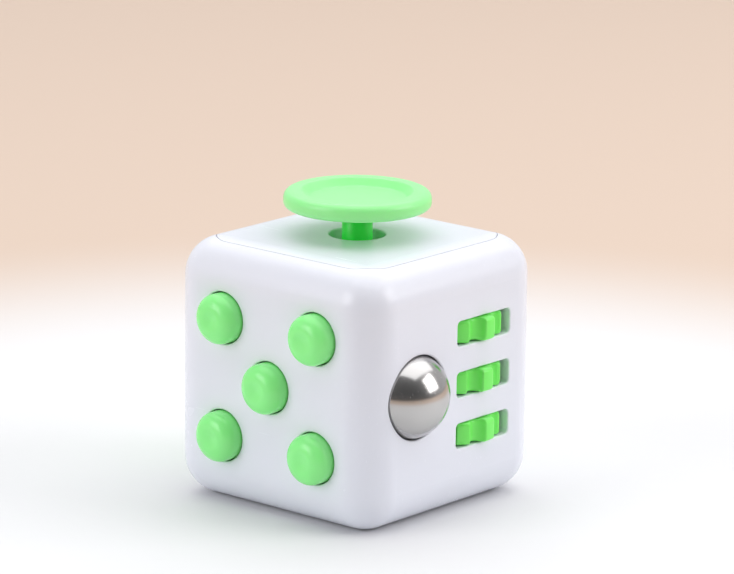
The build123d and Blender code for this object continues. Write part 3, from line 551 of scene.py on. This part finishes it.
def noise(tree, vector, scale, detail=3.0, roughness=0.5):
    node = tree.nodes.new("ShaderNodeTexNoise")
    wire(tree, vector, node.inputs["Vector"])
    if isinstance(scale, (int, float)):
        node.inputs["Scale"].default_value = scale
    else:
        wire(tree, scale, node.inputs["Scale"])
    node.inputs["Detail"].default_value = detail
    node.inputs["Roughness"].default_value = roughness
    return node.outputs["Fac"]


def remap(tree, value, low, high, to_low, to_high):
    node = tree.nodes.new("ShaderNodeMapRange")
    node.interpolation_type = "SMOOTHSTEP"
    wire(tree, value, node.inputs["Value"])
    for label, number in zip(("From Min", "From Max", "To Min", "To Max"),
                             (low, high, to_low, to_high)):
        if isinstance(number, (int, float)):
            node.inputs[label].default_value = number
        else:
            wire(tree, number, node.inputs[label])
    return node.outputs["Result"]


def object_place(tree, scale=1 / MM):
    """Object coordinates in millimetres."""
    place = tree.nodes.new("ShaderNodeTexCoord").outputs["Object"]
    mapping = tree.nodes.new("ShaderNodeMapping")
    mapping.inputs["Scale"].default_value = (scale,) * 3
    wire(tree, place, mapping.inputs["Vector"])
    return mapping.outputs["Vector"]


def moulded_skin_group():
    """Moulded plastic: a faint flow mottle in the colour, sink ripples and a fine grain."""
    group, inlet, outlet = new_group(
        "Moulded Skin",
        [("Colour", "NodeSocketColor", (0.8, 0.8, 0.8, 1)),
         ("Mottle", "NodeSocketFloat", 0.03), ("Grain", "NodeSocketFloat", 0.3)],
        [("Colour", "NodeSocketColor", None), ("Height", "NodeSocketFloat", None)],
    )
    place = object_place(group)
    flow = noise(group, place, 0.11, 4.0, 0.55)
    cloud = noise(group, place, 0.9, 3.0, 0.6)
    both = math_node(group, "ADD", math_node(group, "MULTIPLY", flow, 0.7),
                     math_node(group, "MULTIPLY", cloud, 0.3))
    spread = math_node(group, "SUBTRACT", both, 0.5)
    factor = math_node(group, "MULTIPLY_ADD", spread, inlet.outputs["Mottle"], 1.0)
    tint = group.nodes.new("ShaderNodeHueSaturation")
    wire(group, inlet.outputs["Colour"], tint.inputs["Color"])
    wire(group, factor, tint.inputs["Value"])
    wire(group, tint.outputs["Color"], outlet.inputs["Colour"])
    grain = noise(group, place, 22.0, 2.0, 0.6)
    ripple = noise(group, place, 0.35, 1.0, 0.4)
    height = math_node(
        group, "MULTIPLY_ADD", grain, inlet.outputs["Grain"],
        math_node(group, "MULTIPLY", ripple, 1.6)
    )
    wire(group, height, outlet.inputs["Height"])
    return group


def handling_group():
    """Handling marks: soft smudges, thin hairline scratches and specks of dust, as masks."""
    group, inlet, outlet = new_group(
        "Handling Marks",
        [("Smudge", "NodeSocketFloat", 1.0), ("Hairline", "NodeSocketFloat", 1.0)],
        [("Smudge", "NodeSocketFloat", None), ("Hairline", "NodeSocketFloat", None),
         ("Dust", "NodeSocketFloat", None)],
    )
    place = object_place(group)
    broad = noise(group, place, 0.12, 2.0, 0.45)
    smudge = remap(group, broad, 0.3, 0.8, 0.0, 1.0)
    wire(group, math_node(group, "MULTIPLY", smudge, inlet.outputs["Smudge"]),
         outlet.inputs["Smudge"])
    stretch = group.nodes.new("ShaderNodeMapping")
    stretch.inputs["Rotation"].default_value = (0.5, 0.9, 0.3)
    stretch.inputs["Scale"].default_value = (0.06, 5.0, 2.0)
    wire(group, place, stretch.inputs["Vector"])
    lines = noise(group, stretch.outputs["Vector"], 1.0, 2.0, 0.5)
    thin = remap(group, lines, 0.66, 0.74, 0.0, 1.0)
    wire(group, math_node(group, "MULTIPLY", thin, inlet.outputs["Hairline"]),
         outlet.inputs["Hairline"])
    specks = group.nodes.new("ShaderNodeTexVoronoi")
    specks.inputs["Scale"].default_value = 1.1
    wire(group, place, specks.inputs["Vector"])
    dust = remap(group, specks.outputs["Distance"], 0.02, 0.05, 1.0, 0.0)
    wire(group, dust, outlet.inputs["Dust"])
    return group


def edge_wear_and_sheen_group():
    """Edge rubbing and painted edge sheen: where the surface turns away from its softened self, broken up by
    noise. The mask pales the colour along edges, partly for rubbed plastic and partly as a painted highlight on
    the rounded edges.
    """
    group, inlet, outlet = new_group(
        "Edge Wear and Sheen",
        [("Width", "NodeSocketFloat", 0.0003), ("Amount", "NodeSocketFloat", 0.5)],
        [("Mask", "NodeSocketFloat", None)],
    )
    bevel = group.nodes.new("ShaderNodeBevel")
    bevel.samples = 4
    wire(group, inlet.outputs["Width"], bevel.inputs["Radius"])
    geometry = group.nodes.new("ShaderNodeNewGeometry")
    dot = group.nodes.new("ShaderNodeVectorMath")
    dot.operation = "DOT_PRODUCT"
    wire(group, bevel.outputs["Normal"], dot.inputs[0])
    wire(group, geometry.outputs["Normal"], dot.inputs[1])
    edge = remap(group, dot.outputs["Value"], 0.995, 0.90, 0.0, 1.0)
    broken = remap(group, noise(group, object_place(group), 1.4, 4.0, 0.65), 0.35, 0.65, 0.2, 1.0)
    mask = math_node(group, "MULTIPLY", edge, broken)
    wire(group, math_node(group, "MULTIPLY", mask, inlet.outputs["Amount"], clamp=True),
         outlet.inputs["Mask"])
    return group


def brushed_group():
    """Machining marks: fine lines round an axis, as a height and as a roughness change."""
    group, inlet, outlet = new_group(
        "Machined Lines",
        [("Scale", "NodeSocketFloat", 30.0), ("Depth", "NodeSocketFloat", 1.0)],
        [("Height", "NodeSocketFloat", None), ("Lines", "NodeSocketFloat", None)],
    )
    stretch = group.nodes.new("ShaderNodeMapping")
    stretch.inputs["Scale"].default_value = (0.04, 0.04, 1.0)
    wire(group, object_place(group), stretch.inputs["Vector"])
    lines = noise(group, stretch.outputs["Vector"], inlet.outputs["Scale"], 3.0, 0.6)
    wire(group, lines, outlet.inputs["Lines"])
    wire(group, math_node(group, "MULTIPLY", lines, inlet.outputs["Depth"]),
         outlet.inputs["Height"])
    return group


def place_group(tree, group, **values):
    node = tree.nodes.new("ShaderNodeGroup")
    node.node_tree = group
    for label, value in values.items():
        node.inputs[label].default_value = value
    return node


def new_material(name, **sockets):
    """Material with a Principled shader; uniform values are set on its own sockets."""
    material = bpy.data.materials.new(name)
    material.use_nodes = True
    tree = material.node_tree
    shader = tree.nodes["Principled BSDF"]
    for label, value in sockets.items():
        shader.inputs[label.replace("_", " ")].default_value = value
    return material, tree, shader


def mix_colour(tree, factor, first, second):
    node = tree.nodes.new("ShaderNodeMix")
    node.data_type = "RGBA"
    wire(tree, factor, node.inputs["Factor"])
    for socket, value in ((node.inputs["A"], first), (node.inputs["B"], second)):
        if isinstance(value, tuple):
            socket.default_value = value
        else:
            wire(tree, value, socket)
    return node.outputs["Result"]


def bump(tree, shader, height, distance, strength=1.0):
    node = tree.nodes.new("ShaderNodeBump")
    node.inputs["Distance"].default_value = distance
    node.inputs["Strength"].default_value = strength
    wire(tree, height, node.inputs["Height"])
    wire(tree, node.outputs["Normal"], shader.inputs["Normal"])


def plastic(name, groups, tone, gloss, mottle=0.06, grain=0.25, glow=0.0, glow_radius=(1, 1, 1),
            wear_and_sheen=0.35, pale=(0.95, 0.97, 0.95)):
    """Moulded plastic: mottled colour, paler edges that are partly rubbed and partly a painted sheen, smudged
    gloss, grain and dust.
    """
    material, tree, shader = new_material(
        name, IOR=1.5, Specular_IOR_Level=0.5, Subsurface_Weight=glow,
        Subsurface_Radius=glow_radius, Subsurface_Scale=0.0012
    )
    skin = place_group(tree, groups["skin"], Colour=(*tone, 1), Mottle=mottle, Grain=grain)
    marks = place_group(tree, groups["marks"], Smudge=1.0, Hairline=0.6)
    edges = place_group(tree, groups["edges"], Width=0.00025, Amount=wear_and_sheen)
    # paler colour along the edges: partly rubbed plastic, partly a painted highlight standing in for edge sheen
    rubbed_and_sheened = mix_colour(tree, edges.outputs["Mask"], skin.outputs["Colour"], (*pale, 1))
    dusty = mix_colour(
        tree, math_node(tree, "MULTIPLY", marks.outputs["Dust"], 0.25), rubbed_and_sheened, (0.7, 0.69, 0.66, 1)
    )
    wire(tree, dusty, shader.inputs["Base Color"])
    rough = math_node(tree, "MULTIPLY_ADD", marks.outputs["Smudge"], 0.035, gloss)
    rough = math_node(tree, "MULTIPLY_ADD", marks.outputs["Hairline"], 0.03, rough)
    rough = math_node(tree, "MULTIPLY_ADD", edges.outputs["Mask"], 0.1, rough)
    wire(tree, rough, shader.inputs["Roughness"])
    bump(tree, shader, skin.outputs["Height"], 0.000012)
    return material


def metal(name, groups, tone, gloss, lines=30.0, depth=1.0, distance=0.000006):
    """Bare metal: machined lines, smudges and a faint tarnish."""
    material, tree, shader = new_material(name, Metallic=1.0)
    turned = place_group(tree, groups["lines"], Scale=lines, Depth=depth)
    marks = place_group(tree, groups["marks"], Smudge=1.0, Hairline=1.0)
    dull = tuple(0.82 * c for c in tone)
    stain = mix_colour(tree, marks.outputs["Smudge"], (*tone, 1), (*dull, 1))
    wire(tree, stain, shader.inputs["Base Color"])
    rough = math_node(tree, "MULTIPLY_ADD", turned.outputs["Lines"], 0.12, gloss)
    rough = math_node(tree, "MULTIPLY_ADD", marks.outputs["Hairline"], 0.1, rough)
    wire(tree, rough, shader.inputs["Roughness"])
    bump(tree, shader, turned.outputs["Height"], distance)
    return material


def laminate(groups):
    """Switch board: woven resin laminate with darker and lighter yarns."""
    material, tree, shader = new_material("board_laminate", IOR=1.55, Coat_Weight=0.3)
    place = object_place(tree)
    weave = tree.nodes.new("ShaderNodeTexWave")
    weave.inputs["Scale"].default_value = 2.4
    weave.inputs["Distortion"].default_value = 0.6
    wire(tree, place, weave.inputs["Vector"])
    marks = place_group(tree, groups["marks"], Smudge=1.0, Hairline=0.3)
    yarn = mix_colour(tree, weave.outputs["Fac"], (0.012, 0.10, 0.045, 1), (0.03, 0.17, 0.07, 1))
    wire(tree, yarn, shader.inputs["Base Color"])
    wire(tree, math_node(tree, "MULTIPLY_ADD", marks.outputs["Smudge"], 0.15, 0.35),
         shader.inputs["Roughness"])
    bump(tree, shader, weave.outputs["Fac"], 0.00001)
    return material


def all_materials(finish):
    """Every finish, by the record's material slot, with the joystick cap's paler green (its blue tint a painted
    reflection) and the stem's brighter green (a painted glow).
    """
    groups = {
        "skin": moulded_skin_group(), "marks": handling_group(),
        "edges": edge_wear_and_sheen_group(), "lines": brushed_group(),
    }
    leaf = (0.55, 1.0, 0.45)
    return {
        "white_shell": plastic("case_white", groups, tuple(finish.case_colour), 0.24, 0.03, 0.18,
                               0.12, (1.0, 0.95, 0.9), 0.2),
        "green_plastic": plastic("green_abs", groups, tuple(finish.green), 0.27, 0.05, 0.2, 0.25,
                                 leaf, 0.3, (0.45, 0.9, 0.4)),
        "light_plastic": plastic("light_green_abs", groups, tuple(finish.light), 0.22, 0.05, 0.2,
                                 0.2, leaf, 0.15, (0.5, 0.92, 0.45)),
        # the cap's blue tint is a painted reflection of the window light
        "mint_plastic": plastic("mint_abs_with_painted_reflection", groups, tuple(finish.mint), 0.30, 0.05, 0.2, 0.4,
                                leaf, 0.3, (0.55, 0.92, 0.5)),
        # the stem's brighter green is a painted glow of light shining through the cap
        "stem_plastic": plastic("stem_abs_painted_glow", groups, tuple(finish.stem), 0.30, 0.05, 0.2, 0.3,
                                leaf, 0.2, (0.3, 0.92, 0.3)),
        "frame_plastic": plastic("natural_abs", groups, (0.55, 0.55, 0.52), 0.5, 0.1, 0.6),
        "switch_black": plastic("black_nylon", groups, (0.02, 0.02, 0.022), 0.45, 0.2, 0.6,
                                pale=(0.12, 0.12, 0.12)),
        "silicone": plastic("soft_silicone", groups, (0.62, 0.62, 0.6), 0.55, 0.05, 0.3, 0.5),
        "polished_steel": metal("polished_ball", groups, tuple(finish.steel), 0.12, 3.0, 0.3,
                                0.000002),
        "bright_steel": metal("plated_steel", groups, (0.56, 0.57, 0.58), 0.22),
        "spring_steel": metal("drawn_wire", groups, (0.42, 0.42, 0.44), 0.3, 60.0),
        "brass": metal("turned_brass", groups, (0.70, 0.50, 0.20), 0.22, 40.0),
        "board_resin": laminate(groups),
    }


def material_for(slot):
    """The finish for a slot; all finishes are made the first time one is asked for."""
    if not MATERIALS:
        MATERIALS.update(all_materials(bpy.context.scene.fidget_finish))
    return MATERIALS[slot]


MATERIALS = {}


# ---------------------------------------------------------------- operators

class FIDGET_OT_frame_finish(Operator):
    """Give every CAD node that stays its moulded, metal or laminate finish"""
    bl_idname = "fidget.frame_finish"
    bl_label = "Case and Inner Parts"

    def execute(self, context):
        for entry in frame["record"]["subparts"]:
            materials = frame["nodes"][entry["node"]].data.materials
            materials.clear()
            materials.append(material_for(entry["material_slot"]))
        return {"FINISHED"}


class FIDGET_OT_buttons(Operator):
    """Build the five push-button caps"""
    bl_idname = "fidget.buttons"
    bl_label = "Push Buttons"

    def execute(self, context):
        for node in sorted(n for n in frame["nodes"] if n.startswith("button_cap")):
            piece = button_cap(f"{node}_face", node, context.scene.fidget_buttons)
            finished(piece, node, material_for("light_plastic"))
        return {"FINISHED"}


class FIDGET_OT_gears(Operator):
    """Build the three scalloped thumb gears"""
    bl_idname = "fidget.gears"
    bl_label = "Thumb Gears"

    def execute(self, context):
        sizes = context.scene.fidget_gears
        for number in (1, 2, 3):
            node = f"gear_{number}"
            piece = gear(f"thumb_{node}", node, sizes, gear_phase(node, sizes.lobes))
            finished(piece, node, material_for("green_plastic"))
        return {"FINISHED"}


class FIDGET_OT_ball(Operator):
    """Build the polished steel ball"""
    bl_idname = "fidget.ball"
    bl_label = "Steel Ball"

    def execute(self, context):
        finished(steel_ball("rolling_steel_ball", "ball"), "ball",
                 material_for("polished_steel"))
        return {"FINISHED"}


class FIDGET_OT_joystick(Operator):
    """Build the joystick's dished cap and its stem"""
    bl_idname = "fidget.joystick"
    bl_label = "Joystick"

    def execute(self, context):
        sizes = context.scene.fidget_joystick
        cap = joystick_cap("dished_cap", "joystick_cap", sizes)
        finished(cap, "joystick_cap", material_for("mint_plastic"))
        stem = joystick_stem("domed_stem", "joystick_stem", sizes)
        finished(stem, "joystick_stem", material_for("stem_plastic"))
        return {"FINISHED"}


class FIDGET_OT_dial(Operator):
    """Build the finger dial"""
    bl_idname = "fidget.dial"
    bl_label = "Dial"

    def execute(self, context):
        piece = dial("finger_dial", "dial", context.scene.fidget_dial)
        finished(piece, "dial", material_for("green_plastic"))
        return {"FINISHED"}


class FIDGET_OT_rocker(Operator):
    """Build the two-way rocker"""
    bl_idname = "fidget.rocker"
    bl_label = "Rocker"

    def execute(self, context):
        piece = rocker("flip_rocker", "rocker", context.scene.fidget_rocker)
        finished(piece, "rocker", material_for("green_plastic"))
        return {"FINISHED"}


def soft_lamp(name, place, size, power, tint):
    """Square area light at place, facing the cube."""
    light = bpy.data.lights.new(name, "AREA")
    light.size = size
    light.energy = power
    light.color = tint
    lamp = bpy.data.objects.new(name, light)
    lamp.location = place
    aim = Vector(LAMP_TARGET) - Vector(place)
    lamp.rotation_euler = aim.to_track_quat("-Z", "Y").to_euler()
    bpy.context.scene.collection.objects.link(lamp)
    return lamp


def paper_floor(settings):
    """Pale matt floor: a wide sheet with faint paper fibre, whiter round the cube."""
    half = 3.0
    rows = np.array([[-half, -half, 0], [half, -half, 0], [half, half, 0], [-half, half, 0]])
    mesh = bpy.data.meshes.new("floor")
    mesh.from_pydata(rows.tolist(), [], [(0, 1, 2, 3)])
    floor = bpy.data.objects.new("floor", mesh)
    bpy.context.scene.collection.objects.link(floor)
    material, tree, shader = new_material("floor_paper", Roughness=0.75)
    place = object_place(tree)
    tone = tuple(settings.floor)
    dim = tuple(0.985 * c for c in tone)
    fibre = noise(tree, place, 0.5, 5.0, 0.6)
    near = mix_colour(tree, fibre, (*tone, 1), (*dim, 1))
    reach = tree.nodes.new("ShaderNodeVectorMath")
    reach.operation = "LENGTH"
    wire(tree, place, reach.inputs[0])
    start = settings.floor_spread / MM
    far = remap(tree, reach.outputs["Value"], start, 2 * start, 0.0, 1.0)
    wire(tree, mix_colour(tree, far, near, (*settings.far_floor, 1)), shader.inputs["Base Color"])
    mesh.materials.append(material)


def stage_camera(settings):
    """Camera on a bearing round the cube's centre, shifted sideways in its own plane."""
    az, el, roll = settings.azimuth, settings.elevation, settings.roll
    back = Vector((np.sin(az) * np.cos(el), -np.cos(az) * np.cos(el), np.sin(el)))
    right = Vector((np.cos(az), np.sin(az), 0))
    up = back.cross(right)
    turned_right = right * np.cos(roll) + up * np.sin(roll)
    turned_up = up * np.cos(roll) - right * np.sin(roll)
    shift = (turned_right * CAMERA_SHIFT[0] + turned_up * CAMERA_SHIFT[1]) * MM
    place = Vector(CUBE_MIDDLE) + back * settings.distance + shift
    data = bpy.data.cameras.new("camera")
    data.lens = settings.lens
    data.sensor_width = 36.0
    camera = bpy.data.objects.new("camera", data)
    turn = Matrix((turned_right, turned_up, back)).transposed().to_4x4()
    camera.matrix_world = Matrix.Translation(place) @ turn
    bpy.context.scene.collection.objects.link(camera)
    bpy.context.scene.camera = camera


def soft_sky(settings):
    """Sky that is bright towards the far left and dim towards the near right."""
    world = bpy.data.worlds.new("soft_sky")
    world.use_nodes = True
    tree = world.node_tree
    towards = tree.nodes.new("ShaderNodeVectorMath")
    towards.operation = "DOT_PRODUCT"
    towards.inputs[1].default_value = Vector(BRIGHT_SIDE).normalized()
    wire(tree, tree.nodes.new("ShaderNodeTexCoord").outputs["Generated"], towards.inputs[0])
    strength = remap(tree, towards.outputs["Value"], -0.8, 0.9, *SKY_STRENGTH)
    background = tree.nodes["Background"]
    background.inputs["Color"].default_value = (*settings.sky, 1)
    wire(tree, strength, background.inputs["Strength"])
    return world


class FIDGET_OT_stage(Operator):
    """Lay the pale floor, hang the soft lights and set up the camera"""
    bl_idname = "fidget.stage"
    bl_label = "Stage"

    def execute(self, context):
        settings = context.scene.fidget_stage
        paper_floor(settings)
        soft_lamp("top_softbox", (-0.05, 0.12, 0.62), 1.0, 4.4, (0.99, 0.99, 1.0))
        soft_lamp("left_softbox", (-0.30, -0.75, 0.32), 0.5, 2.8, (0.99, 0.99, 1.0))
        soft_lamp("right_softbox", (0.60, 0.36, 0.38), 0.45, 2.5, (1.0, 0.98, 0.98))
        context.scene.world = soft_sky(settings)
        context.scene.view_settings.view_transform = "Standard"
        stage_camera(settings)
        return {"FINISHED"}


OPERATORS = (
    FIDGET_OT_stage,
    FIDGET_OT_frame_finish,
    FIDGET_OT_buttons,
    FIDGET_OT_gears,
    FIDGET_OT_ball,
    FIDGET_OT_joystick,
    FIDGET_OT_dial,
    FIDGET_OT_rocker,
)


class FIDGET_PT_parts(Panel):
    """Lists the pieces that can be built"""
    bl_idname = "FIDGET_PT_parts"
    bl_label = "Fidget Cube"
    bl_space_type = "VIEW_3D"
    bl_region_type = "UI"
    bl_category = "Fidget Cube"

    def draw(self, context):
        for operator in OPERATORS:
            self.layout.operator(operator.bl_idname, text=operator.bl_label)


def register():
    for item in (*SETTINGS.values(), *OPERATORS, FIDGET_PT_parts):
        bpy.utils.register_class(item)
    for name, group in SETTINGS.items():
        setattr(bpy.types.Scene, name, PointerProperty(type=group))


def unregister():
    for name in SETTINGS:
        delattr(bpy.types.Scene, name)
    for item in reversed((*SETTINGS.values(), *OPERATORS, FIDGET_PT_parts)):
        bpy.utils.unregister_class(item)


def main():
    register()
    for operator in OPERATORS:
        group, name = operator.bl_idname.split(".")
        getattr(getattr(bpy.ops, group), name)()


if __name__ == "__main__":
    main()
